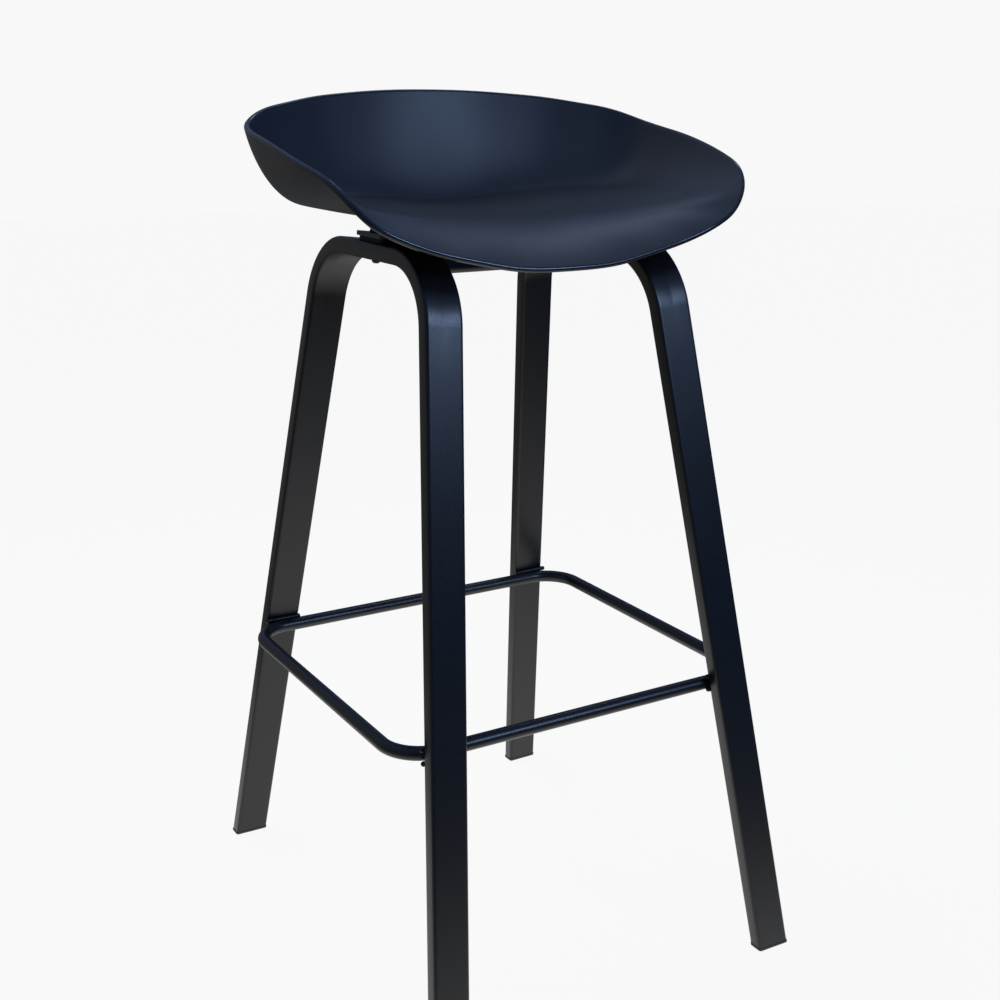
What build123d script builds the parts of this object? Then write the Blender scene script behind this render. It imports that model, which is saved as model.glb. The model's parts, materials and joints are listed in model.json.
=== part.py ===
from build123d import *
import math
import os

# Bar stool with a low-backed moulded seat, two bent-tube leg arches and a footrest ring.
# Millimetres, +Z up. The front faces -Y; left (-X) and right (+X) are as seen from the front.
# The origin is on the floor, midway between the four feet.

# ---------------------------------------------------------------- driving dimensions
# Leg arches: each side's front and rear leg are one bent length of rectangular tube
tube_width = 38.0
tube_thickness = 16.0
tube_wall = 1.5
tube_corner = 3.0
arch_top = 731.0             # height of the arch's upper face at its middle
arch_half_width = 119.0      # how far out that face's middle stands
foot_half_depth = 259.1      # floor point of a leg's centre line, front to back
arch_lean = 6.2              # degrees each arch leans in towards the other
leg_splay = 11.5             # degrees each leg spreads forwards or backwards in its arch
arch_bend_radius = 76.0      # outer face of the bend
leg_overrun = 20.0           # bent length left past the floor before the feet are cut level

# Foot plugs
plug_lip = 3.0
plug_proud = 0.4
plug_length = 28.0
plug_core_gap = 2.0
plug_core_corner = 1.0
plug_fin = 1.4
plug_fin_pitch = 7.0
plug_fins = 3
plug_edge = 0.8

# Footrest ring
footrest_bar = 14.0
footrest_height = 292.3      # centre of the bar
footrest_overhang = 37.5     # side bars' centre line, out from the legs' centre line
footrest_corner = 40.0       # centre line radius
footrest_touch = 0.05        # clearance between bar and leg before welding
weld_throat = 2.6
weld_offset = 1.6
weld_overrun = 2.0           # how far a bead runs past each edge of the leg
weld_end = 1.2

# Seat carrier: pressed steel tray between the arches, with a tab over each arch
carrier_sheet = 4.0
carrier_half_depth = 60.0
carrier_drop = 31.0          # from the tray's upper face to the lower edge of its flanges
carrier_bend = 3.0           # inside radius of the flange bends
carrier_side_gap = 2.1       # between the tray's end and the arch's inner edge
tab_half_depth = 29.0
tab_inset = 2.0              # short of the arch's outer edge
tab_corner = 6.0
pad_thickness = 4.0
pad_half_width = 15.0
pad_half_depth = 25.0
pad_corner = 4.0

# Bolts that hold the carrier to the arches
arch_bolt = 8.0
arch_bolt_length = 30.0
arch_bolt_head = 13.0
arch_bolt_head_height = 5.3
arch_bolt_head_edge = 0.6
arch_bolt_tip_edge = 1.6
arch_bolt_setback = 14.0     # behind the middle of the arch
arch_bolt_clearance = 0.5
arch_washer = 16.0
arch_washer_thickness = 1.6
sleeve_diameter = 13.0
thread_gap = 0.05

# Screws that hold the seat to the carrier
seat_bolt = 6.0
seat_bolt_engagement = 6.8   # thread above the tray
seat_bolt_head = 10.0
seat_bolt_head_height = 4.0
seat_bolt_head_edge = 0.5
seat_bolt_tip_edge = 0.7
seat_bolt_half_width = 60.0
seat_bolt_half_depth = 35.0
seat_bolt_clearance = 0.4
flat_washer = 12.5
spring_washer = 11.4
washer_thickness = 1.6
spring_washer_split = 1.6
insert_diameter = 8.6
insert_length = 7.0
insert_pocket = 7.5

# Seat shell
seat_half_width = 229.0
seat_half_depth = 140.0
seat_centre = -1.0
seat_clearance = 8.3         # from the tray's upper face to the top of the pan at its middle
seat_lip_drop = 26.5         # from there down to the front lip's upper edge at its middle
seat_rise = 147.0            # from the lip to the top of the back
shell_wall = 6.0
shell_edge = 2.5
boss_diameter = 20.0
rib_width = 3.0
rib_gap = 0.2
rib_bite = 3.5

cut_margin = 1.0             # how far a cut runs past the sheet it goes through
corners = ((-1, -1), (1, -1), (1, 1), (-1, 1))

# ---------------------------------------------------------------- shared geometry
lean = math.radians(arch_lean)
splay = math.radians(leg_splay)
arch_rise = arch_top / math.cos(lean)                    # height measured in the arch's plane
foot_half_width = arch_half_width + arch_top * math.tan(lean)  # floor point of the centre line
arch_up = Vector(math.sin(lean), 0, math.cos(lean))      # up in the left arch's plane
arch_side = Vector(-math.cos(lean), 0, math.sin(lean))   # out of it, away from the middle

# The left arch's plane: its x runs to the back of the stool and its y up the arch
arch_plane = Plane(origin=(-foot_half_width, 0, 0), x_dir=(0, 1, 0), z_dir=-arch_side)


def arch_point(back, up):
    """Point in the left arch's plane, from how far back and how far up it lies."""
    return Vector(-foot_half_width, back, 0) + arch_up * up


# Plane on the left arch's upper face at its bolt, looking up
bolt_plane = Plane(origin=arch_point(arch_bolt_setback, arch_rise), x_dir=(0, 1, 0), z_dir=arch_up)

# Heights of the tray, which stays level while its tabs follow the arches' lean
arch_inner_edge = arch_half_width - tube_width / 2 * math.cos(lean)
tray_half_width = arch_inner_edge - carrier_side_gap
tray_bottom = (
    arch_top + (tray_half_width - arch_half_width) * math.tan(lean) + pad_thickness / math.cos(lean)
)
tray_top = tray_bottom + carrier_sheet
pan_height = tray_top + seat_clearance
seat_lip = pan_height - seat_lip_drop


def leg_width_at(height):
    """How far out the leg's centre line stands at a height."""
    return foot_half_width - height * math.tan(lean)


# ---------------------------------------------------------------- leg arches
leg_half_top = foot_half_depth - (arch_rise - tube_thickness / 2) * math.tan(splay)
leg_half_below = foot_half_depth + leg_overrun * math.tan(splay)

with BuildPart() as left_leg_arch:
    with BuildLine(arch_plane) as arch_path:
        FilletPolyline(
            (-leg_half_below, -leg_overrun),
            (-leg_half_top, arch_rise - tube_thickness / 2),
            (leg_half_top, arch_rise - tube_thickness / 2),
            (leg_half_below, -leg_overrun),
            radius=arch_bend_radius - tube_thickness / 2,
        )
    foot_section = Plane(origin=arch_path.line @ 0, x_dir=arch_side, z_dir=arch_path.line % 0)
    with BuildSketch(foot_section):
        RectangleRounded(tube_width, tube_thickness, tube_corner)
        RectangleRounded(
            tube_width - 2 * tube_wall,
            tube_thickness - 2 * tube_wall,
            tube_corner - tube_wall,
            mode=Mode.SUBTRACT,
        )
    sweep(path=arch_path.line)
    # The feet are cut level with the floor, and stand on their plugs
    split(bisect_by=Plane.XY.offset(plug_lip), keep=Keep.TOP)
    # Bolt hole down through both walls of the tube
    with BuildSketch(bolt_plane):
        Circle(arch_bolt / 2 + arch_bolt_clearance)
    extrude(amount=-tube_thickness - cut_margin, mode=Mode.SUBTRACT)

with BuildPart() as right_leg_arch:
    add(left_leg_arch.part)
    mirror(about=Plane.YZ, mode=Mode.REPLACE)

# Threaded sleeves inside the tubes, which the bolts screw into
with BuildPart() as left_sleeve:
    with BuildSketch(bolt_plane.offset(-tube_wall)):
        Circle(sleeve_diameter / 2)
        Circle(arch_bolt / 2 + thread_gap, mode=Mode.SUBTRACT)
    extrude(amount=-(tube_thickness - 2 * tube_wall))
with BuildPart() as arch_sleeves:
    add(left_sleeve.part)
    mirror(about=Plane.YZ)

# ---------------------------------------------------------------- foot plugs


def make_foot_plug(side, end):
    """Plastic plug for one leg: a lip under the tube's end and a finned stem up inside it."""
    up = Vector(-side * math.sin(lean), 0, math.cos(lean))
    along = Vector(0, -end * math.sin(splay), 0) + up * math.cos(splay)
    across = Vector(side * math.cos(lean), 0, math.sin(lean))
    foot = Vector(side * foot_half_width, end * foot_half_depth, 0)
    leg_plane = Plane(origin=foot, x_dir=across, z_dir=along)
    start = leg_plane.offset(-tube_thickness)
    with BuildPart() as lip:
        with BuildSketch(start):
            RectangleRounded(tube_width + 2 * plug_proud, tube_thickness + 2 * plug_proud, tube_corner)
        extrude(amount=2 * tube_thickness + plug_lip)
        split(bisect_by=Plane.XY, keep=Keep.TOP)
        split(bisect_by=Plane.XY.offset(plug_lip), keep=Keep.BOTTOM)
        fillet(lip.edges().group_by(Axis.Z)[0], radius=plug_edge)
    bore_width = tube_width - 2 * tube_wall
    bore_thickness = tube_thickness - 2 * tube_wall
    with BuildPart() as plug:
        with BuildSketch(start):
            RectangleRounded(
                bore_width - 2 * plug_core_gap, bore_thickness - 2 * plug_core_gap, plug_core_corner
            )
        extrude(amount=tube_thickness + plug_length)
        for fin in range(plug_fins):
            level = plug_length - plug_fin - fin * plug_fin_pitch
            with BuildSketch(leg_plane.offset(level)):
                RectangleRounded(bore_width, bore_thickness, tube_corner - tube_wall)
            extrude(amount=plug_fin)
        split(bisect_by=Plane.XY.offset(plug_lip / 2), keep=Keep.TOP)
        add(lip.part)
    return plug


front_left_foot_plug = make_foot_plug(-1, -1)
front_right_foot_plug = make_foot_plug(1, -1)
rear_left_foot_plug = make_foot_plug(-1, 1)
rear_right_foot_plug = make_foot_plug(1, 1)

# ---------------------------------------------------------------- footrest ring
# The front and rear bars bear on the inner faces of the legs; each face is tilted both by the
# splay and by the lean, so the bar touches it first at the leg's inboard edge
footrest_half_width = leg_width_at(footrest_height) + footrest_overhang
leg_inboard = leg_width_at(footrest_height) - tube_width / 2 / math.cos(lean)
footrest_half_depth = foot_half_depth - (
    footrest_bar / 2
    + tube_thickness / 2
    + footrest_touch
    + footrest_height * math.sin(splay) * math.cos(lean)
    + (foot_half_width - leg_inboard) * math.sin(splay) * math.sin(lean)
) / math.cos(splay)

with BuildPart() as footrest_ring:
    with BuildLine(Plane.XY.offset(footrest_height)) as ring_path:
        quarter = FilletPolyline(
            (0, -footrest_half_depth),
            (footrest_half_width, -footrest_half_depth),
            (footrest_half_width, footrest_half_depth),
            (0, footrest_half_depth),
            radius=footrest_corner,
        )
    with BuildSketch(Plane(origin=ring_path.line @ 0, z_dir=ring_path.line % 0)):
        Circle(footrest_bar / 2)
    sweep(path=ring_path.line)
    mirror(about=Plane.YZ)


def make_weld_pair(side, end):
    """The two fillet welds of one leg, above and below the footrest bar."""
    inward = Vector(
        side * math.sin(splay) * math.sin(lean),
        -end * math.cos(splay),
        -math.sin(splay) * math.cos(lean),
    )
    up_face = Vector(0, -inward.Z, inward.Y) * -end
    bar_centre = Vector(side * leg_width_at(footrest_height), end * footrest_half_depth, footrest_height)
    reach = math.sqrt((footrest_bar / 2 + weld_offset) ** 2 - (footrest_bar / 2 - weld_offset) ** 2)
    weld_length = tube_width / math.cos(lean) + 2 * weld_overrun
    with BuildPart() as pair:
        for way in (-1, 1):
            middle = bar_centre - inward * (footrest_bar / 2 - weld_offset) + up_face * way * reach
            start = Vector(middle.X - weld_length / 2, middle.Y, middle.Z)
            with BuildSketch(Plane(origin=start, x_dir=(0, 1, 0), z_dir=(1, 0, 0))):
                Circle(weld_throat)
            extrude(amount=weld_length)
        fillet(pair.edges().filter_by(GeomType.CIRCLE), radius=weld_end)
        add(footrest_ring.part, mode=Mode.SUBTRACT)
        add((left_leg_arch if side < 0 else right_leg_arch).part, mode=Mode.SUBTRACT)
    return pair


with BuildPart() as footrest_welds:
    for side, end in corners:
        add(make_weld_pair(side, end).part)

# ---------------------------------------------------------------- seat carrier and its pads
screw_places = GridLocations(2 * seat_bolt_half_width, 2 * seat_bolt_half_depth, 2, 2)
tab_plane = bolt_plane.offset(pad_thickness)
tab_outboard = tube_width / 2 - tab_inset
tab_inboard = (arch_half_width - tray_half_width) / math.cos(lean)

with BuildPart() as left_tab:
    # Sketch on the tab's lower face: x runs to the back, y towards the middle of the stool
    with BuildSketch(Plane(tab_plane.origin, x_dir=-arch_side, z_dir=arch_up)):
        with Locations(((tab_inboard - tab_outboard) / 2, -arch_bolt_setback)):
            Rectangle(tab_inboard + tab_outboard, 2 * tab_half_depth)
    extrude(amount=carrier_sheet)
    fillet(left_tab.edges().filter_by(Axis((0, 0, 0), arch_up)).group_by(Axis.X)[0], radius=tab_corner)

with BuildPart() as seat_carrier:
    with BuildSketch(Plane.YZ.offset(-tray_half_width)) as tray_section:
        with Locations((0, tray_top - carrier_drop / 2)):
            Rectangle(2 * carrier_half_depth, carrier_drop)
        fillet(
            tray_section.vertices().group_by(Axis.Z)[-1],
            radius=carrier_bend + carrier_sheet,
        )
        with Locations((0, tray_top - carrier_sheet - carrier_drop / 2)):
            RectangleRounded(
                2 * (carrier_half_depth - carrier_sheet), carrier_drop, carrier_bend, mode=Mode.SUBTRACT
            )
        with Locations((0, tray_top - carrier_drop - carrier_bend)):
            Rectangle(2 * carrier_half_depth, 2 * carrier_bend, mode=Mode.SUBTRACT)
    extrude(amount=2 * tray_half_width)
    add(left_tab.part)
    add(left_tab.part.mirror(Plane.YZ))
    # Clearance holes for the seat screws and, along each arch's lean, for the arch bolts
    with BuildSketch(Plane.XY.offset(tray_bottom - cut_margin)):
        with screw_places:
            Circle(seat_bolt / 2 + seat_bolt_clearance)
    extrude(amount=carrier_sheet + 2 * cut_margin, mode=Mode.SUBTRACT)
    with BuildSketch(tab_plane.offset(-cut_margin)):
        Circle(arch_bolt / 2 + arch_bolt_clearance)
    left_hole = extrude(amount=carrier_sheet + 2 * cut_margin, mode=Mode.SUBTRACT)
    mirror(left_hole, about=Plane.YZ, mode=Mode.SUBTRACT)

with BuildPart() as left_carrier_pad:
    with BuildSketch(bolt_plane):
        with Locations((-arch_bolt_setback, 0)):
            RectangleRounded(2 * pad_half_depth, 2 * pad_half_width, pad_corner)
        Circle(arch_bolt / 2 + arch_bolt_clearance, mode=Mode.SUBTRACT)
    extrude(amount=pad_thickness)

with BuildPart() as right_carrier_pad:
    add(left_carrier_pad.part)
    mirror(about=Plane.YZ, mode=Mode.REPLACE)

# ---------------------------------------------------------------- arch bolts and washers
washer_plane = tab_plane.offset(carrier_sheet)
head_plane = washer_plane.offset(arch_washer_thickness)

with BuildPart() as left_arch_washer:
    with BuildSketch(washer_plane):
        Circle(arch_washer / 2)
        Circle(arch_bolt / 2 + arch_bolt_clearance, mode=Mode.SUBTRACT)
    extrude(amount=arch_washer_thickness)
with BuildPart() as arch_washers:
    add(left_arch_washer.part)
    mirror(about=Plane.YZ)

with BuildPart() as left_arch_bolt:
    with BuildSketch(head_plane):
        RegularPolygon(arch_bolt_head / 2, 6, major_radius=False)
    extrude(amount=arch_bolt_head_height)
    chamfer(left_arch_bolt.edges().sort_by(Axis((0, 0, 0), arch_up))[-6:], length=arch_bolt_head_edge)
    with BuildSketch(head_plane):
        Circle(arch_bolt / 2)
    extrude(amount=-arch_bolt_length)
    chamfer(left_arch_bolt.edges().sort_by(Axis((0, 0, 0), arch_up))[0], length=arch_bolt_tip_edge)
with BuildPart() as arch_bolts:
    add(left_arch_bolt.part)
    mirror(about=Plane.YZ)

# ---------------------------------------------------------------- seat screws, washers, inserts
seat_bolt_length = 2 * washer_thickness + carrier_sheet + seat_bolt_engagement
flat_washer_bottom = tray_bottom - washer_thickness
spring_washer_bottom = flat_washer_bottom - washer_thickness

with BuildPart() as seat_flat_washers:
    with BuildSketch(Plane.XY.offset(flat_washer_bottom)):
        with screw_places:
            Circle(flat_washer / 2)
            Circle(seat_bolt / 2 + seat_bolt_clearance, mode=Mode.SUBTRACT)
    extrude(amount=washer_thickness)

with BuildPart() as seat_spring_washers:
    with BuildSketch(Plane.XY.offset(spring_washer_bottom)):
        with screw_places:
            Circle(spring_washer / 2)
            Circle(seat_bolt / 2 + seat_bolt_clearance / 2, mode=Mode.SUBTRACT)
            with Locations((spring_washer / 2, 0)):
                Rectangle(spring_washer, spring_washer_split, mode=Mode.SUBTRACT)
    extrude(amount=washer_thickness)

with BuildPart() as seat_bolts:
    with BuildSketch(Plane.XY.offset(spring_washer_bottom)):
        with screw_places:
            RegularPolygon(seat_bolt_head / 2, 6, major_radius=False)
    extrude(amount=-seat_bolt_head_height)
    chamfer(seat_bolts.edges().group_by(Axis.Z)[0], length=seat_bolt_head_edge)
    with BuildSketch(Plane.XY.offset(spring_washer_bottom)):
        with screw_places:
            Circle(seat_bolt / 2)
    extrude(amount=seat_bolt_length)
    chamfer(seat_bolts.edges().group_by(Axis.Z)[-1], length=seat_bolt_tip_edge)

with BuildPart() as seat_inserts:
    with BuildSketch(Plane.XY.offset(tray_top)):
        with screw_places:
            Circle(insert_diameter / 2)
            Circle(seat_bolt / 2 + thread_gap, mode=Mode.SUBTRACT)
    extrude(amount=insert_length)

# ---------------------------------------------------------------- seat shell
# The rim, from the middle of the front lip round to the middle of the back, as shares of the
# half width, the half depth and the rise from lip to back
rim_shares = (
    (0.0, -1.0, 0.0),
    (0.246, -0.995, 0.0205),
    (0.422, -0.985, 0.077),
    (0.598, -0.978, 0.16),
    (0.762, -0.968, 0.263),
    (0.845, -0.94, 0.341),
    (0.908, -0.875, 0.441),
    (0.948, -0.745, 0.527),
    (0.981, -0.522, 0.598),
    (0.996, -0.303, 0.652),
    (1.0, 0.103, 0.735),
    (0.991, 0.309, 0.768),
    (0.963, 0.462, 0.803),
    (0.905, 0.57, 0.841),
    (0.831, 0.65, 0.877),
    (0.741, 0.72, 0.905),
    (0.578, 0.83, 0.947),
    (0.422, 0.905, 0.971),
    (0.262, 0.963, 0.99),
    (0.0, 1.0, 1.0),
)
# Against the direction from the middle in degrees (-90 is the front): where the pan folds up into
# the wall, as a share of the reach to the rim, and how far the pan has risen by the rim
fold_shares = ((-90, 0.9), (-40, 0.94), (20, 0.94), (90, 0.84))
bowl_rises = ((-90, 0.0), (-20, 33.0), (15, 37.0), (90, 20.0))
fold_softness = 0.045        # length of the fold, as a share of the reach
lip_start = 0.25             # share of the reach at which the pan begins to fall to the lip
lip_power = 2.2
climb_blend = 8.0            # height over which the wall gives way to the falling lip
surface_shares = (0.15, 0.3, 0.45, 0.6, 0.7, 0.78, 0.84, 0.89, 0.93, 0.97)


def eased(table, direction):
    """Value of a (direction, value) table, eased between its entries."""
    for (start, low), (stop, high) in zip(table, table[1:]):
        if direction <= stop:
            share = (direction - start) / (stop - start)
            return low + (high - low) * share * share * (3 - 2 * share)
    return table[-1][1]


def shell_height(share, direction, rim_height):
    """Height of the seat's upper face part of the way from its middle to the rim."""
    bowl = eased(bowl_rises, direction)
    fold = eased(fold_shares, direction)
    climb = rim_height - pan_height - bowl
    rising = climb_blend * math.log(1 + math.exp(climb / climb_blend))

    def soft(place):
        return fold_softness * math.log(1 + math.exp((place - fold) / fold_softness))

    wall = (soft(share) - soft(0)) / (soft(1) - soft(0))
    drop = max(0.0, (share - lip_start) / (1 - lip_start)) ** lip_power
    return pan_height + bowl * share**2 + rising * wall + (climb - rising) * drop


rim_right = [
    (x * seat_half_width, seat_centre + y * seat_half_depth, seat_lip + z * seat_rise)
    for x, y, z in rim_shares
]
rim_left = [(-x, y, z) for x, y, z in reversed(rim_right[1:-1])]

shell_points = [(0, seat_centre, pan_height)]
for x, y, z in rim_right:
    direction = math.degrees(math.atan2(y - seat_centre, x))
    for share in surface_shares:
        place = (x * share, seat_centre + (y - seat_centre) * share)
        height = shell_height(share, direction, z)
        shell_points.append((place[0], place[1], height))
        if x > 0:
            shell_points.append((-place[0], place[1], height))

with BuildLine() as rim:
    Spline(*(rim_right + rim_left), periodic=True)
upper_face = Face.make_surface(rim.edges(), surface_points=shell_points)

with BuildPart() as half_shell:
    thicken(upper_face, amount=-shell_wall)
    split(bisect_by=Plane.YZ)
    fillet(half_shell.edges().sort_by(Edge.length)[-2:], radius=shell_edge)

with BuildPart() as seat_shell:
    add(half_shell.part)
    mirror(about=Plane.YZ)
    # Screw bosses and the ribs that join them, under the pan
    with BuildSketch(Plane.XY.offset(tray_top)):
        with screw_places:
            Circle(boss_diameter / 2)
    extrude(amount=pan_height - tray_top - rib_bite + shell_wall / 2)
    with BuildSketch(Plane.XY.offset(tray_top + rib_gap)):
        with GridLocations(0, 2 * seat_bolt_half_depth, 1, 2):
            Rectangle(2 * seat_bolt_half_width, rib_width)
        with GridLocations(2 * seat_bolt_half_width, 0, 2, 1):
            Rectangle(rib_width, 2 * seat_bolt_half_depth)
    extrude(amount=pan_height - tray_top - rib_gap - rib_bite)
    with BuildSketch(Plane.XY.offset(tray_top)):
        with screw_places:
            Circle(insert_diameter / 2)
    extrude(amount=insert_pocket, mode=Mode.SUBTRACT)

# ---------------------------------------------------------------- export
os.makedirs("parts", exist_ok=True)

seat_shell.part.label = "seat_shell"
export_step(seat_shell.part, "parts/seat_shell.step")

seat_inserts.part.label = "seat_inserts"
export_step(seat_inserts.part, "parts/seat_inserts.step")

seat_bolts.part.label = "seat_bolts"
export_step(seat_bolts.part, "parts/seat_bolts.step")

seat_spring_washers.part.label = "seat_spring_washers"
export_step(seat_spring_washers.part, "parts/seat_spring_washers.step")

seat_flat_washers.part.label = "seat_flat_washers"
export_step(seat_flat_washers.part, "parts/seat_flat_washers.step")

seat_carrier.part.label = "seat_carrier"
export_step(seat_carrier.part, "parts/seat_carrier.step")

left_carrier_pad.part.label = "left_carrier_pad"
export_step(left_carrier_pad.part, "parts/left_carrier_pad.step")

right_carrier_pad.part.label = "right_carrier_pad"
export_step(right_carrier_pad.part, "parts/right_carrier_pad.step")

arch_bolts.part.label = "arch_bolts"
export_step(arch_bolts.part, "parts/arch_bolts.step")

arch_washers.part.label = "arch_washers"
export_step(arch_washers.part, "parts/arch_washers.step")

arch_sleeves.part.label = "arch_sleeves"
export_step(arch_sleeves.part, "parts/arch_sleeves.step")

left_leg_arch.part.label = "left_leg_arch"
export_step(left_leg_arch.part, "parts/left_leg_arch.step")

right_leg_arch.part.label = "right_leg_arch"
export_step(right_leg_arch.part, "parts/right_leg_arch.step")

footrest_ring.part.label = "footrest_ring"
export_step(footrest_ring.part, "parts/footrest_ring.step")

footrest_welds.part.label = "footrest_welds"
export_step(footrest_welds.part, "parts/footrest_welds.step")

front_left_foot_plug.part.label = "front_left_foot_plug"
export_step(front_left_foot_plug.part, "parts/front_left_foot_plug.step")

front_right_foot_plug.part.label = "front_right_foot_plug"
export_step(front_right_foot_plug.part, "parts/front_right_foot_plug.step")

rear_left_foot_plug.part.label = "rear_left_foot_plug"
export_step(rear_left_foot_plug.part, "parts/rear_left_foot_plug.step")

rear_right_foot_plug.part.label = "rear_right_foot_plug"
export_step(rear_right_foot_plug.part, "parts/rear_right_foot_plug.step")
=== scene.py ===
import json
import math
import bpy
import numpy as np
from mathutils import Matrix, Vector


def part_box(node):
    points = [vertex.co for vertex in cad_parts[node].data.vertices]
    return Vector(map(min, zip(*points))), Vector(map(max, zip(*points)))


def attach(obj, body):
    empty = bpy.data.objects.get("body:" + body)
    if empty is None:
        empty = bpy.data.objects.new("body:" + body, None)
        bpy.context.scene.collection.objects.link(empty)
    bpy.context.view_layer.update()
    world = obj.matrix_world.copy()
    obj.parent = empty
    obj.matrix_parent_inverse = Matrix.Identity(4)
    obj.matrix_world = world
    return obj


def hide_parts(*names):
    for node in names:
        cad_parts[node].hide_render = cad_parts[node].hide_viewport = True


# Bar stool with a moulded seat on two bent-tube arches and a round-bar footrest ring.
# Metres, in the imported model's frame: the front faces -Y, and left is -X.
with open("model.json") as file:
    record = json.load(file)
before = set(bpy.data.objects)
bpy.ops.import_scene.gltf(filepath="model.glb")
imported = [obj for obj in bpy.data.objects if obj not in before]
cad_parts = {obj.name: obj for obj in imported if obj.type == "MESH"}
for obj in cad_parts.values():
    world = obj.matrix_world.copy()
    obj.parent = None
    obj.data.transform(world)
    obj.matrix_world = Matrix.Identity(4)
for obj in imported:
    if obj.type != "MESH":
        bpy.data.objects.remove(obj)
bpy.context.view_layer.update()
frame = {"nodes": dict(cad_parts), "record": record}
nodes = frame["nodes"]
MM = 0.001

# ---------------------------------------------------------------- sizes of the object
front_right_mount, rear_left_mount = frame["record"]["mounts"][1:3]
foot_x = front_right_mount["pos_m"][0]
foot_y = rear_left_mount["pos_m"][1]
arch_lean = math.radians(6.2)
leg_splay = math.radians(11.5)
arch_top = 731 * MM
tube_width, tube_thickness, tube_corner = 38 * MM, 16 * MM, 3 * MM
bend_radius = 68 * MM                  # centre line
plug_lip = 3 * MM

ring_low, ring_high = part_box("footrest_ring")
bar_diameter = ring_high.z - ring_low.z
bar_height = (ring_low.z + ring_high.z) / 2
ring_half_x = ring_high.x - bar_diameter / 2
ring_half_y = ring_high.y - bar_diameter / 2
ring_corner = 40 * MM

seat_half_width, seat_half_depth, seat_centre = 229 * MM, 140 * MM, -1 * MM
insert_low, insert_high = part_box("seat_inserts")
tray_top = insert_low.z
pan_height = tray_top + 13.3 * MM
seat_lip, seat_rise = pan_height - 34 * MM, 149.5 * MM
shell_wall = 5.7 * MM


# ---------------------------------------------------------------- small helpers
def make_piece(name, vertices, faces, material, smooth_angle=None):
    """A mesh piece that rides on the stool, shaded smooth below an angle in degrees."""
    mesh = bpy.data.meshes.new(name)
    mesh.from_pydata([tuple(v) for v in vertices], [], faces)
    mesh.validate()
    mesh.shade_smooth()
    if smooth_angle is not None:
        mesh.set_sharp_from_angle(angle=math.radians(smooth_angle))
    piece = bpy.data.objects.new(name, mesh)
    bpy.context.scene.collection.objects.link(piece)
    piece.data.materials.append(material)
    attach(piece, "root")
    return piece


def tube_faces(rings, around, closed=False):
    """Quads that join rings of points, each ring joined to the next."""
    faces = []
    for ring in range(rings if closed else rings - 1):
        following = (ring + 1) % rings
        for place in range(around):
            beside = (place + 1) % around
            faces.append((
                ring * around + place,
                ring * around + beside,
                following * around + beside,
                following * around + place,
            ))
    return faces


def eased(table, places):
    """Values of a (place, value) table, eased between its entries."""
    places = np.asarray(places, float)
    result = np.full(places.shape, float(table[-1][1]))
    for (start, low), (stop, high) in reversed(list(zip(table, table[1:]))):
        share = np.clip((places - start) / (stop - start), 0, 1)
        result = np.where(places <= stop, low + (high - low) * share**2 * (3 - 2 * share), result)
    return result


def closed_spline(points, count):
    """Evenly spaced points on the smooth closed curve through the given ones."""
    points = np.asarray(points, float)
    gaps = np.linalg.norm(np.roll(points, -1, axis=0) - points, axis=1)
    size = len(points)
    system = np.zeros((size, size))
    wanted = np.zeros((size, 3))
    for here in range(size):
        before, after = gaps[here - 1], gaps[here]
        following = (here + 1) % size
        system[here, here - 1] = after
        system[here, here] = 2 * (before + after)
        system[here, following] = before
        wanted[here] = 3 * (
            after / before * (points[here] - points[here - 1])
            + before / after * (points[following] - points[here])
        )
    slopes = np.linalg.solve(system, wanted)
    starts = np.concatenate([[0], np.cumsum(gaps)])
    along = np.linspace(0, starts[-1], count, endpoint=False)
    span = np.clip(np.searchsorted(starts, along, side="right") - 1, 0, size - 1)
    length = gaps[span][:, None]
    t = (along - starts[span])[:, None] / length
    ahead = (span + 1) % size
    return (
        points[span] * (2 * t**3 - 3 * t**2 + 1)
        + slopes[span] * length * (t**3 - 2 * t**2 + t)
        + points[ahead] * (3 * t**2 - 2 * t**3)
        + slopes[ahead] * length * (t**3 - t**2)
    )


# ---------------------------------------------------------------- materials
def new_material(name):
    """An empty node material with its shader."""
    material = bpy.data.materials.new(name)
    material.use_nodes = True
    tree = material.node_tree
    shader = tree.nodes["Principled BSDF"]
    return material, tree, shader


def noise(tree, scale, detail=2.0, roughness=0.5):
    """Noise in object space, which is the stool's own frame in metres."""
    place = tree.nodes.new("ShaderNodeTexCoord")
    texture = tree.nodes.new("ShaderNodeTexNoise")
    texture.inputs["Scale"].default_value = scale
    texture.inputs["Detail"].default_value = detail
    texture.inputs["Roughness"].default_value = roughness
    tree.links.new(place.outputs["Object"], texture.inputs["Vector"])
    return texture.outputs["Fac"]


def ranged(tree, value, low, high, from_low=0.35, from_high=0.65):
    """A value brought from one range to another, and held to it."""
    node = tree.nodes.new("ShaderNodeMapRange")
    node.inputs["From Min"].default_value = from_low
    node.inputs["From Max"].default_value = from_high
    node.inputs["To Min"].default_value = low
    node.inputs["To Max"].default_value = high
    tree.links.new(value, node.inputs["Value"])
    return node.outputs["Result"]


def mixed_colour(tree, value, first, second):
    """A colour between two, by a value from 0 to 1."""
    node = tree.nodes.new("ShaderNodeMix")
    node.data_type = "RGBA"
    node.inputs["A"].default_value = (*first, 1)
    node.inputs["B"].default_value = (*second, 1)
    tree.links.new(value, node.inputs["Factor"])
    return node.outputs["Result"]


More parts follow.
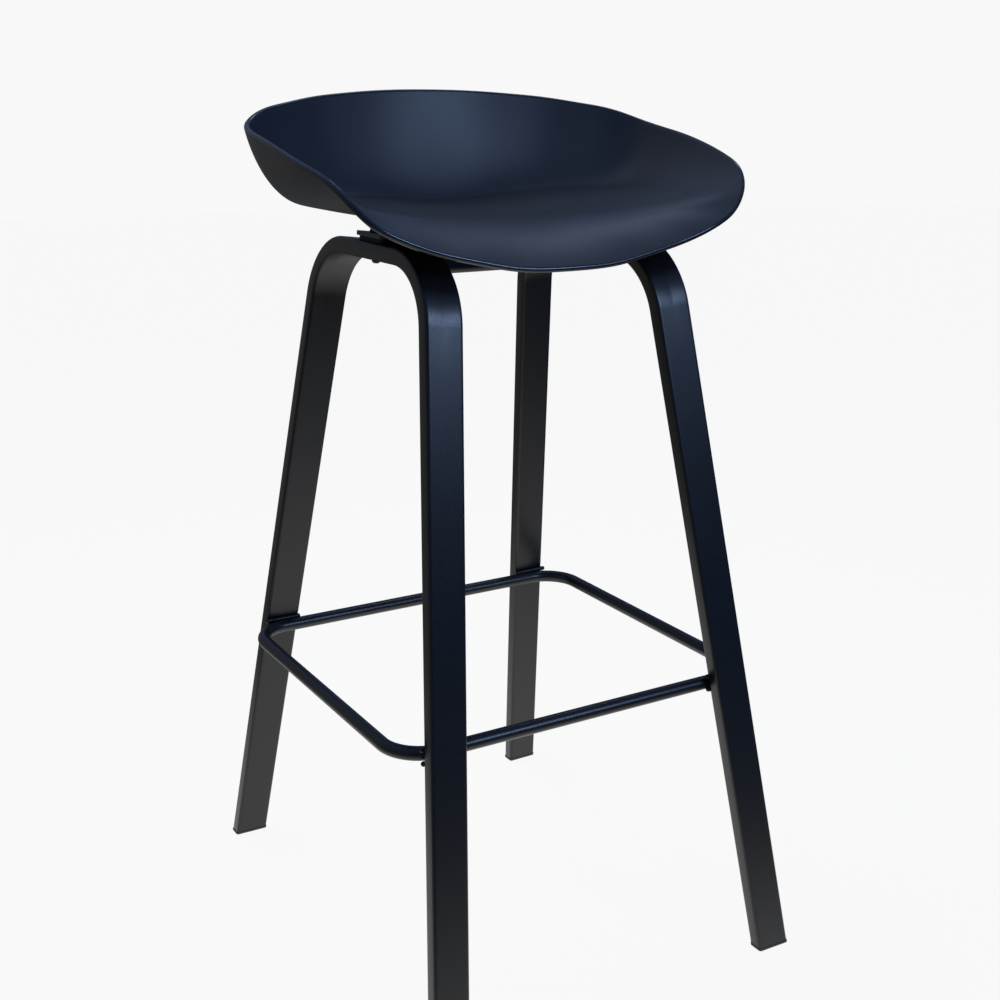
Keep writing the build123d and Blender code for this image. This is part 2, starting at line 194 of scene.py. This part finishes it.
def bumped(tree, shader, layers):
    """Bump from (height, distance in metres, strength) layers, one on another."""
    previous = None
    for height, distance, strength in layers:
        node = tree.nodes.new("ShaderNodeBump")
        node.inputs["Distance"].default_value = distance
        node.inputs["Strength"].default_value = strength
        tree.links.new(height, node.inputs["Height"])
        if previous is not None:
            tree.links.new(previous, node.inputs["Normal"])
        previous = node.outputs["Normal"]
    tree.links.new(previous, shader.inputs["Normal"])


def seat_plastic(name, smoothest, roughest):
    """Matte black polypropylene with a blue cast and a fine, even spark-eroded grain."""
    material, tree, shader = new_material(name)
    cloud = ranged(tree, noise(tree, 9, 2), 0, 1)
    tree.links.new(
        mixed_colour(tree, cloud, (0.0160, 0.0180, 0.0240), (0.0180, 0.0202, 0.0265)),
        shader.inputs["Base Color"],
    )
    tree.links.new(ranged(tree, noise(tree, 900, 3, 0.6), smoothest, roughest), shader.inputs["Roughness"])
    shader.inputs["Specular IOR Level"].default_value = 0.5
    bumped(tree, shader, [(noise(tree, 1700, 2, 0.5), 0.02 * MM, 0.3)])
    return material


def frame_paint():
    """Satin black powder coat with a slight orange peel."""
    material, tree, shader = new_material("frame_paint")
    cloud = ranged(tree, noise(tree, 9, 3), 0, 1)
    tree.links.new(
        mixed_colour(tree, cloud, (0.0048, 0.0050, 0.0058), (0.0057, 0.0060, 0.0069)),
        shader.inputs["Base Color"],
    )
    tree.links.new(ranged(tree, noise(tree, 500, 3, 0.6), 0.30, 0.36), shader.inputs["Roughness"])
    shader.inputs["Specular IOR Level"].default_value = 0.5
    bumped(tree, shader, [
        (noise(tree, 300, 2, 0.4), 0.04 * MM, 0.25),
        (noise(tree, 1500, 2), 0.015 * MM, 0.3),
    ])
    return material


def foot_plastic():
    """Matte black plastic plugs, a little paler over their lowest few millimetres, towards the floor."""
    material, tree, shader = new_material("foot_plastic")
    place = tree.nodes.new("ShaderNodeTexCoord")
    split = tree.nodes.new("ShaderNodeSeparateXYZ")
    tree.links.new(place.outputs["Object"], split.inputs["Vector"])
    height = ranged(tree, split.outputs["Z"], 1, 0, 0, plug_lip)
    tree.links.new(
        mixed_colour(tree, height, (0.020, 0.020, 0.021), (0.055, 0.055, 0.056)),
        shader.inputs["Base Color"],
    )
    tree.links.new(ranged(tree, noise(tree, 500, 3), 0.5, 0.68), shader.inputs["Roughness"])
    bumped(tree, shader, [(noise(tree, 900, 3), 0.08 * MM, 0.5)])
    return material


def pad_rubber():
    """Dull black rubber sheet."""
    material, tree, shader = new_material("pad_rubber")
    cloud = ranged(tree, noise(tree, 60, 3), 0, 1)
    tree.links.new(
        mixed_colour(tree, cloud, (0.010, 0.010, 0.011), (0.018, 0.018, 0.019)),
        shader.inputs["Base Color"],
    )
    tree.links.new(ranged(tree, noise(tree, 700, 3), 0.7, 0.85), shader.inputs["Roughness"])
    bumped(tree, shader, [(noise(tree, 1100, 3), 0.10 * MM, 0.6)])
    return material


def metal(name, dark, light, rough, grain):
    """Bare or plated metal with fine turning marks."""
    material, tree, shader = new_material(name)
    cloud = ranged(tree, noise(tree, 180, 4), 0, 1)
    tree.links.new(mixed_colour(tree, cloud, dark, light), shader.inputs["Base Color"])
    tree.links.new(ranged(tree, noise(tree, grain, 3), *rough), shader.inputs["Roughness"])
    shader.inputs["Metallic"].default_value = 1.0
    bumped(tree, shader, [(noise(tree, grain, 3), 0.03 * MM, 0.4)])
    return material


finishes = {
    "seat_plastic": seat_plastic("seat_plastic", 0.40, 0.46),
    "seat_edge": seat_plastic("seat_edge", 0.12, 0.15),
    "frame_paint": frame_paint(),
    "foot_plastic": foot_plastic(),
    "pad_rubber": pad_rubber(),
    "black_bolts": metal("black_bolts", (0.020, 0.021, 0.024), (0.045, 0.046, 0.050), (0.35, 0.5), 900),
    "zinc_steel": metal("zinc_steel", (0.46, 0.47, 0.49), (0.62, 0.63, 0.64), (0.25, 0.42), 1200),
    "brass_inserts": metal("brass_inserts", (0.60, 0.43, 0.17), (0.74, 0.56, 0.26), (0.22, 0.38), 1200),
}
for subpart in frame["record"]["subparts"]:
    mesh = nodes[subpart["node"]].data
    mesh.materials.clear()
    mesh.materials.append(finishes[subpart["material_slot"]])


# ---------------------------------------------------------------- seat
# The right half of the rim, from the middle of the front to the middle of the back: across, back
# and up, as shares of the half width, the half depth and the rise. A scratch program first placed
# the points from the photo, and many of them were then moved by hand.
rim_shares = (
    (0.0, -1.0, 0.0),
    (0.246, -0.995, 0.017),
    (0.422, -0.985, 0.069),
    (0.598, -0.978, 0.134),
    (0.762, -0.968, 0.229),
    (0.845, -0.94, 0.305),
    (0.908, -0.875, 0.42),
    (0.948, -0.745, 0.528),
    (0.981, -0.522, 0.605),
    (0.996, -0.303, 0.658),
    (1.0, 0.103, 0.739),
    (0.991, 0.309, 0.772),
    (0.963, 0.462, 0.809),
    (0.905, 0.57, 0.854),
    (0.831, 0.65, 0.89),
    (0.741, 0.72, 0.915),
    (0.578, 0.83, 0.953),
    (0.422, 0.905, 0.975),
    (0.262, 0.963, 0.991),
    (0.0, 1.0, 1.0),
)
# By direction from the middle (-90 is the front): where the wall starts to bend out of the pan, as
# a share of the reach to the rim, how square the bend is, and how far the pan itself has risen
wall_starts = ((-90, 0.8), (20, 0.81), (90, 0.78))
wall_powers = ((-90, 2.0), (30, 2.0), (90, 1.4))
bowl_rises = ((-90, 0.0), (-20, 30 * MM), (15, 30 * MM), (90, 15 * MM))
wall_reach = 0.92
climb_blend = 8 * MM
lip_start, lip_power = 0.25, 2.2
# How finely the faces are divided, and the radius of the rim's rounded edge
seat_around, edge_steps = 480, 8
pan_rings, climb_rings, wall_rings = 14, 22, 24
edge_round = 2.7 * MM
edge_probe = 0.002                     # share of the reach that the slope at the rim is taken over


def seat_heights(shares, directions, rim_heights):
    """Heights of the seat's upper face part of the way from its middle to the rim."""
    bowl = eased(bowl_rises, directions)
    start = eased(wall_starts, directions)
    power = eased(wall_powers, directions)
    climb = rim_heights - pan_height - bowl
    rising = climb_blend * np.logaddexp(0, climb / climb_blend)

    def bent(place):
        return 1 - (1 - place**power) ** (1 / power)

    wall = bent(wall_reach * np.clip((shares - start) / (1 - start), 0, None)) / bent(wall_reach)
    drop = np.clip((shares - lip_start) / (1 - lip_start), 0, None) ** lip_power
    return pan_height + bowl * shares**2 + rising * wall + (climb - rising) * drop


def seat_surface(rim, shares):
    """Points of the upper face on the lines from the middle to each point of the rim."""
    middle = np.array([0, seat_centre])
    outward = rim[:, None, :2] - middle
    directions = np.degrees(np.arctan2(outward[..., 1], np.abs(outward[..., 0])))
    plan = middle + outward * shares[..., None]
    heights = seat_heights(shares, directions, rim[:, None, 2])
    return np.concatenate([plan, heights[..., None]], axis=2)


def seat_rim():
    """Evenly spaced points round the rim."""
    right = [
        (x * seat_half_width, seat_centre + y * seat_half_depth, seat_lip + z * seat_rise)
        for x, y, z in rim_shares
    ]
    left = [(-x, y, z) for x, y, z in reversed(right[1:-1])]
    return closed_spline(right + left, seat_around)


def surface_normals(surface):
    """Upward unit normals of a face given as a grid of points."""
    around = np.roll(surface, -1, axis=0) - np.roll(surface, 1, axis=0)
    inward = np.gradient(surface, axis=1)
    normals = np.cross(inward, around)
    normals /= np.linalg.norm(normals, axis=2, keepdims=True)
    return normals * np.sign(normals[:1, :1, 2:])


def edge_rings(rim, outward, up):
    """Rings over the rim's rounded edge, from the upper face to the lower."""
    corner = rim - outward * edge_round
    upper_steps = [(edge_round, 1 - step / edge_steps) for step in range(1, edge_steps + 1)]
    lower_steps = [(shell_wall - edge_round, -step / edge_steps) for step in range(edge_steps)]
    rings = []
    for depth, turn in upper_steps + lower_steps:
        angle = math.pi / 2 * turn
        round_part = edge_round * (outward * math.cos(angle) + up * math.sin(angle))
        rings.append(corner - up * depth + round_part)
    return rings


def build_seat():
    """The moulded shell: upper and lower faces joined round a rounded edge."""
    rim = seat_rim()
    edge = seat_surface(rim, np.array([[1 - edge_probe, 1.0]] * seat_around))
    reach = (edge[:, 1] - edge[:, 0]) / edge_probe
    steepness = np.linalg.norm(reach, axis=1, keepdims=True)
    ring_shares = np.concatenate([
        np.linspace(0.03, 0.6, pan_rings),
        np.linspace(0.62, 0.9, climb_rings),
        np.linspace(0.91, 1, wall_rings),
    ])
    upper = seat_surface(rim, ring_shares[None, :] * (1 - edge_round / steepness))
    normals = surface_normals(upper)
    lower = upper - normals * shell_wall

    turned = edge_rings(rim, reach / steepness, normals[:, -1])
    rings = list(upper.transpose(1, 0, 2)) + turned + list(lower.transpose(1, 0, 2)[::-1])
    middles = [[0, seat_centre, pan_height], [0, seat_centre, pan_height - shell_wall]]
    vertices = np.concatenate(rings + [middles])
    faces = tube_faces(len(rings), seat_around)
    top, bottom = len(vertices) - 2, len(vertices) - 1
    last = (len(rings) - 1) * seat_around
    for place in range(seat_around):
        beside = (place + 1) % seat_around
        faces.append((top, beside, place))
        faces.append((bottom, last + place, last + beside))
    seat = make_piece("moulded_seat", vertices, faces, finishes["seat_plastic"])
    # The rounded edge is smoother than the grained faces, so that it can catch a thin line of light
    seat.data.materials.append(finishes["seat_edge"])
    first = (upper.shape[1] - 1) * seat_around
    for face in seat.data.polygons[first:first + 2 * edge_steps * seat_around]:
        face.material_index = 1
    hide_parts("seat_shell")


insert_radius = 4.3 * MM
boss_bore, boss_radius = 5.2 * MM, 10 * MM
boss_around = 48
rib_half, rib_soft = 1.5 * MM, 0.4 * MM
rib_inset = 9 * MM                     # from a boss's centre, so that the rib starts inside it
rib_clearance = 0.25 * MM              # between a rib and the tray
moulding_overlap = 1.5 * MM            # how far bosses and ribs reach up into the shell


def build_bosses():
    """The screw bosses and the ribs between them, moulded under the pan."""
    pan_under = pan_height - shell_wall + moulding_overlap
    profile = (
        (boss_bore, pan_under),
        (boss_bore, tray_top + 0.8 * MM),
        (boss_bore + 0.4 * MM, tray_top + 0.2 * MM),
        (boss_bore + 1 * MM, tray_top),
        (boss_radius - 0.6 * MM, tray_top),
        (boss_radius - 0.2 * MM, tray_top + 0.15 * MM),
        (boss_radius, tray_top + 0.6 * MM),
        (boss_radius, pan_under),
    )
    turns = [2 * math.pi * step / boss_around for step in range(boss_around)]
    faces = tube_faces(len(profile), boss_around, True)
    centres_x = (insert_low.x + insert_radius, insert_high.x - insert_radius)
    centres_y = (insert_low.y + insert_radius, insert_high.y - insert_radius)
    for row, y in enumerate(centres_y):
        for column, x in enumerate(centres_x):
            vertices = [
                (x + radius * math.cos(turn), y + radius * math.sin(turn), z)
                for radius, z in profile for turn in turns
            ]
            name = f"seat_boss_{row}{column}"
            boss = make_piece(name, vertices, faces, finishes["seat_plastic"], 40)

    low = tray_top + rib_clearance
    runs = [((centres_x[0] + rib_inset, y), (centres_x[1] - rib_inset, y)) for y in centres_y]
    runs += [((x, centres_y[0] + rib_inset), (x, centres_y[1] - rib_inset)) for x in centres_x]
    section = (
        (-rib_half, pan_under), (-rib_half, low + rib_soft), (-rib_half + rib_soft, low),
        (rib_half - rib_soft, low), (rib_half, low + rib_soft), (rib_half, pan_under),
    )
    size = len(section)
    faces = tube_faces(2, size) + [tuple(range(size))[::-1], tuple(range(size, 2 * size))]
    for number, ends in enumerate(runs):
        (x0, y0), (x1, y1) = ends
        along = np.array([x1 - x0, y1 - y0]) / math.hypot(x1 - x0, y1 - y0)
        vertices = [
            (x - along[1] * side, y + along[0] * side, z) for x, y in ends for side, z in section
        ]
        rib = make_piece(f"seat_rib_{number}", vertices, faces, finishes["seat_plastic"], 40)


# ---------------------------------------------------------------- leg arches
leg_steps, bend_steps, top_steps = 16, 40, 5
corner_steps, face_steps = 6, 24
hollow_depth, pinch_depth, hollow_reach = 0.5 * MM, 0.3 * MM, 13 * MM


def arch_path():
    """Stations on an arch's centre line: (how far back, how far up, outward angle, bend share)."""
    rise = arch_top / math.cos(arch_lean) - tube_thickness / 2
    half_top = foot_y - rise * math.tan(leg_splay)
    turn = math.pi / 2 - leg_splay
    tangent = bend_radius * math.tan(turn / 2)
    bend_start = (half_top + tangent * math.sin(leg_splay), rise - tangent * math.cos(leg_splay))
    bend_middle = (half_top - tangent, rise - bend_radius)
    stations = []
    for step in range(leg_steps):
        share = step / leg_steps
        back = foot_y + (bend_start[0] - foot_y) * share
        stations.append((-back, bend_start[1] * share, leg_splay, 0.0))
    for step in range(bend_steps + 1):
        share = step / bend_steps
        angle = leg_splay + turn * share
        back = bend_middle[0] + bend_radius * math.cos(angle)
        stations.append((-back, bend_middle[1] + bend_radius * math.sin(angle), angle, share))
    for step in range(1, top_steps):
        stations.append((-bend_middle[0] * (1 - step / top_steps), rise, math.pi / 2, 1.0))
    whole = stations + [(0.0, rise, math.pi / 2, 1.0)]
    whole += [(-back, up, math.pi - angle, share) for back, up, angle, share in reversed(stations)]
    return whole


def tube_section():
    """Outline of the tube: (across, outward) from its centre, round corners and divided faces."""
    half_across, half_out = tube_width / 2 - tube_corner, tube_thickness / 2 - tube_corner
    outline = []
    corners = ((1, 1, 0), (-1, 1, 90), (-1, -1, 180), (1, -1, 270))
    for number, (across, out, start) in enumerate(corners):
        for step in range(corner_steps + 1):
            angle = math.radians(start + 90 * step / corner_steps)
            outline.append((
                across * half_across + tube_corner * math.cos(angle),
                out * half_out + tube_corner * math.sin(angle),
            ))
        if number % 2 == 0:
            for step in range(1, face_steps):
                place = across * half_across * (1 - 2 * step / face_steps)
                outline.append((place, out * tube_thickness / 2))
    return outline


def build_arch(side, node):
    """One arch of bent tube, with the shallow hollows that bending leaves in its flat faces."""
    up_axis = np.array([-side * math.sin(arch_lean), 0, math.cos(arch_lean)])
    side_axis = np.array([side * math.cos(arch_lean), 0, math.sin(arch_lean)])
    outline = tube_section()
    stations = arch_path()
    vertices = []
    for number, (back, up, angle, share) in enumerate(stations):
        centre = np.array([side * foot_x, back, 0]) + up_axis * up
        front = -1 if number < len(stations) / 2 else 1
        outward = np.array([0, -math.cos(angle), 0]) + up_axis * math.sin(angle)
        bent = math.sin(math.pi * share) ** 0.6 if 0 < share < 1 else 0.0
        for across, out in outline:
            aside = max(0.0, 1 - abs(across) / hollow_reach)
            hollow = hollow_depth * bent * aside**2 if out > tube_thickness * 0.49 else 0.0
            pinch = pinch_depth * bent * aside**2 if out < -tube_thickness * 0.49 else 0.0
            vertices.append(centre + side_axis * across + outward * (out - hollow + pinch))
    vertices = np.array(vertices)
    # Both ends are cut level, on top of the plugs' lips
    for ring in (0, len(stations) - 1):
        beside = 1 if ring == 0 else len(stations) - 2
        rows = slice(ring * len(outline), (ring + 1) * len(outline))
        inner = slice(beside * len(outline), (beside + 1) * len(outline))
        run = vertices[inner] - vertices[rows]
        vertices[rows] += run * ((plug_lip - vertices[rows][:, 2]) / run[:, 2])[:, None]
    faces = tube_faces(len(stations), len(outline))
    faces.append(tuple(range(len(outline)))[::-1])
    faces.append(tuple(range((len(stations) - 1) * len(outline), len(stations) * len(outline))))
    name = node.replace("leg_arch", "bent_tube")
    arch = make_piece(name, vertices, faces, finishes["frame_paint"], 50)
    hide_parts(node)


# ---------------------------------------------------------------- footrest ring and its welds
bend_points, straight_points, bar_around = 25, 60, 36
butt_x, butt_half, butt_proud = 6 * MM, 1.6 * MM, 0.12 * MM


def build_ring():
    """Closed ring of round bar with a dressed butt weld in its front bar."""
    bends = []
    inner_x, inner_y = ring_half_x - ring_corner, ring_half_y - ring_corner
    for number, (x, y) in enumerate(((1, -1), (1, 1), (-1, 1), (-1, -1))):
        start = -90 + 90 * number
        bend = []
        for step in range(bend_points):
            angle = math.radians(start + 90 * step / (bend_points - 1))
            bend.append((
                x * inner_x + ring_corner * math.cos(angle), y * inner_y + ring_corner * math.sin(angle),
            ))
        bends.append(np.array(bend))
    parts = []
    for number, bend in enumerate(bends):
        first, last = bend[-1], bends[(number + 1) % 4][0]
        shares = np.linspace(0, 1, straight_points + 2)[1:-1, None]
        parts += [bend, first + (last - first) * shares]
    path = np.concatenate(parts)
    vertices = []
    for number, point in enumerate(path):
        ahead = path[(number + 1) % len(path)] - path[number - 1]
        ahead /= np.linalg.norm(ahead)
        out = np.array([ahead[1], -ahead[0]])
        proud = butt_proud * math.exp(-((point[0] - butt_x) / butt_half) ** 2) * (point[1] < 0)
        radius = bar_diameter / 2 + proud
        for step in range(bar_around):
            angle = 2 * math.pi * step / bar_around
            vertices.append((
                point[0] + out[0] * radius * math.cos(angle),
                point[1] + out[1] * radius * math.cos(angle),
                bar_height + radius * math.sin(angle),
            ))
    faces = tube_faces(len(path), bar_around, True)
    ring = make_piece("footrest_bar", vertices, faces, finishes["frame_paint"])
    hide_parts("footrest_ring")


def build_welds():
    """Fillet welds above and below the bar at each leg, with the ripples of the weld pool."""
    radius, sunk, overrun = 2.6 * MM, 1.6 * MM, 2 * MM
    half_bar = bar_diameter / 2
    length = tube_width / math.cos(arch_lean) + 2 * overrun
    reach = math.sqrt((half_bar + sunk) ** 2 - (half_bar - sunk) ** 2)
    leg_x = foot_x - bar_height * math.tan(arch_lean)
    stations, around, pitch = 150, 28, 2.1 * MM
    for number, (side, end, way) in enumerate(
        (side, end, way) for side in (-1, 1) for end in (-1, 1) for way in (-1, 1)
    ):
        inward = np.array([
            side * math.sin(leg_splay) * math.sin(arch_lean),
            -end * math.cos(leg_splay),
            -math.sin(leg_splay) * math.cos(arch_lean),
        ])
        up_face = np.array([0, -inward[2], inward[1]]) * -end
        bar = np.array([side * leg_x, end * ring_half_y, bar_height])
        middle = bar - inward * (half_bar - sunk) + up_face * way * reach
        vertices = []
        for station in range(stations):
            angle = math.pi * station / (stations - 1)
            place = -math.cos(angle) * length / 2
            past = max(0.0, abs(place) - length / 2 + radius) / radius
            end_round = math.sqrt(max(0.0, 1 - past**2))
            for step in range(around):
                turn = 2 * math.pi * step / around
                lag = 0.9 * MM * math.cos(turn)
                wave = abs(math.sin(math.pi * (place + lag) / pitch + number))
                size = radius * end_round * (0.93 + 0.09 * wave)
                vertices.append((
                    middle[0] + place,
                    middle[1] + size * math.cos(turn),
                    middle[2] + size * math.sin(turn),
                ))
        faces = tube_faces(stations, around)
        bead = make_piece(f"weld_bead_{number}", vertices, faces, finishes["frame_paint"])
        if number == 0:
            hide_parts("footrest_welds")


build_seat()
build_bosses()
build_arch(-1, "left_leg_arch")
build_arch(1, "right_leg_arch")
build_ring()
build_welds()


# ---------------------------------------------------------------- floor, backdrop, light and camera
def plain_material(name, colour, roughness, glow=0.0):
    """Material of a stage object."""
    material, _, shader = new_material(name)
    shader.inputs["Base Color"].default_value = (*colour, 1)
    shader.inputs["Roughness"].default_value = roughness
    shader.inputs["Specular IOR Level"].default_value = 0.0
    shader.inputs["Emission Color"].default_value = (1, 1, 1, 1)
    shader.inputs["Emission Strength"].default_value = glow
    return material


floor_half, dome_radius = 9.0, 11.0
bounce_reach, bounce_glow, bounce_drop = 1.2, 1.0, 2 * MM


def build_stage():
    """A pale floor under a backdrop, which the stool's faces don't reflect."""
    mesh = bpy.data.meshes.new("floor")
    mesh.from_pydata(
        [(-floor_half, -floor_half, 0), (floor_half, -floor_half, 0),
         (floor_half, floor_half, 0), (-floor_half, floor_half, 0)], [], [(0, 1, 2, 3)],
    )
    floor = bpy.data.objects.new("floor", mesh)
    floor.data.materials.append(plain_material("floor", (0.040, 0.037, 0.033), 1.0, 0.925))
    bpy.context.scene.collection.objects.link(floor)
    bpy.ops.mesh.primitive_uv_sphere_add(radius=dome_radius, segments=64, ring_count=32)
    dome = bpy.context.object
    dome.name = "backdrop"
    dome.data.materials.append(plain_material("backdrop", (0, 0, 0), 1.0, 0.94))
    for thing in (floor, dome):
        thing.visible_diffuse = thing.visible_glossy = False
    dome.visible_shadow = dome.visible_transmission = dome.visible_volume_scatter = False
    # The part of the floor that the stool reflects, brightest round its feet
    bpy.ops.mesh.primitive_circle_add(
        radius=bounce_reach, vertices=64, fill_type="NGON", location=(0, 0, -bounce_drop),
    )
    bounce = bpy.context.object
    bounce.name = "bounce"
    bounce.visible_camera = False
    material = plain_material("bounce", (0, 0, 0), 1.0, 0.0)
    tree = material.node_tree
    place = tree.nodes.new("ShaderNodeTexCoord")
    reach = tree.nodes.new("ShaderNodeVectorMath")
    reach.operation = "LENGTH"
    tree.links.new(place.outputs["Object"], reach.inputs[0])
    glow = ranged(tree, reach.outputs["Value"], bounce_glow, 0.0, 0.25, bounce_reach)
    tree.links.new(glow, tree.nodes["Principled BSDF"].inputs["Emission Strength"])
    bounce.data.materials.append(material)


# Light from each height of direction, from -1 (straight down) to 1, in front and in the sweep
sweep_direction = (-0.8, 0.6, 0.0)
front_light = (
    (-1.0, (0.05, 0.05, 0.06)), (-0.45, (0.03, 0.04, 0.07)), (-0.08, (0.05, 0.09, 0.19)),
    (0.15, (0.05, 0.09, 0.20)), (1.0, (0.14, 0.22, 0.40)),
)
sweep_light = (
    (-1.0, (0.10, 0.10, 0.10)), (-0.5, (0.13, 0.13, 0.12)), (-0.1, (0.20, 0.20, 0.19)),
    (0.1, (0.16, 0.17, 0.20)), (1.0, (0.14, 0.22, 0.40)),
)


def height_ramp(tree, height, stops):
    """A colour by a direction's height, from -1 (straight down) to 1."""
    ramp = tree.nodes.new("ShaderNodeValToRGB")
    elements = ramp.color_ramp.elements
    elements[0].position, elements[0].color = 0.5 + stops[0][0] / 2, (*stops[0][1], 1)
    elements[1].position, elements[1].color = 0.5 + stops[-1][0] / 2, (*stops[-1][1], 1)
    for level, colour in stops[1:-1]:
        elements.new(0.5 + level / 2).color = (*colour, 1)
    tree.links.new(height, ramp.inputs["Fac"])
    return ramp.outputs["Color"]


def build_world():
    """Studio light: cool and dim in front, paler towards the sweep at the left and back."""
    world = bpy.data.worlds.new("studio")
    bpy.context.scene.world = world
    world.use_nodes = True
    tree = world.node_tree
    place = tree.nodes.new("ShaderNodeTexCoord")
    split = tree.nodes.new("ShaderNodeSeparateXYZ")
    tree.links.new(place.outputs["Generated"], split.inputs["Vector"])
    height = ranged(tree, split.outputs["Z"], 0, 1, -1, 1)
    towards = tree.nodes.new("ShaderNodeVectorMath")
    towards.operation = "DOT_PRODUCT"
    towards.inputs[1].default_value = sweep_direction
    tree.links.new(place.outputs["Generated"], towards.inputs[0])
    share = ranged(tree, towards.outputs["Value"], 0, 1, 0.0, 0.7)
    mix = tree.nodes.new("ShaderNodeMix")
    mix.data_type = "RGBA"
    tree.links.new(share, mix.inputs["Factor"])
    tree.links.new(height_ramp(tree, height, front_light), mix.inputs["A"])
    tree.links.new(height_ramp(tree, height, sweep_light), mix.inputs["B"])
    tree.links.new(mix.outputs["Result"], tree.nodes["Background"].inputs["Color"])
    tree.nodes["Background"].inputs["Strength"].default_value = 1.0


def add_softbox(name, direction, distance, size, power, colour, target):
    """A rectangular area light that faces the target from a direction."""
    light = bpy.data.lights.new(name, "AREA")
    light.shape = "RECTANGLE"
    light.size, light.size_y = size
    light.energy = power
    light.color = colour
    box = bpy.data.objects.new(name, light)
    bpy.context.scene.collection.objects.link(box)
    towards = Vector(direction).normalized()
    box.location = Vector(target) + towards * distance
    box.rotation_euler = towards.to_track_quat("Z", "Y").to_euler()
    return box


def add_camera():
    """The camera stands at the left of the front, a little above the seat, and looks down."""
    camera = bpy.data.cameras.new("camera")
    camera.lens = 49.0
    camera.sensor_width = 36.0
    camera.shift_y = 0.1126
    camera.clip_end = 60
    holder = bpy.data.objects.new("camera", camera)
    bpy.context.scene.collection.objects.link(holder)
    yaw, pitch, roll = -0.541, -0.366, 0.006
    aim = Matrix.Rotation(yaw, 4, "Z") @ Matrix.Rotation(math.pi / 2 + pitch, 4, "X")
    turn = aim @ Matrix.Rotation(roll, 4, "Z")
    holder.matrix_world = Matrix.Translation((-0.70046, -1.18274, 0.86403)) @ turn
    bpy.context.scene.camera = holder


build_stage()
build_world()
seat_point = (0, 0, 0.75)
add_softbox("key", (0.42, -0.86, 0.31), 2.2, (0.7, 0.5), 15, (0.44, 0.62, 1.0), seat_point)
top_light = add_softbox("top", (-0.20, 0.42, 0.88), 1.5, (1.2, 0.9), 26, (0.88, 0.92, 1.0), seat_point)
top_light.visible_glossy = False
rim_light = add_softbox("rim", (0.50, 0.40, 0.77), 2.4, (0.5, 0.4), 2.2, (0.70, 0.84, 1.0), seat_point)
rim_light.visible_diffuse = False
add_camera()
bpy.context.scene.view_settings.view_transform = "Standard"
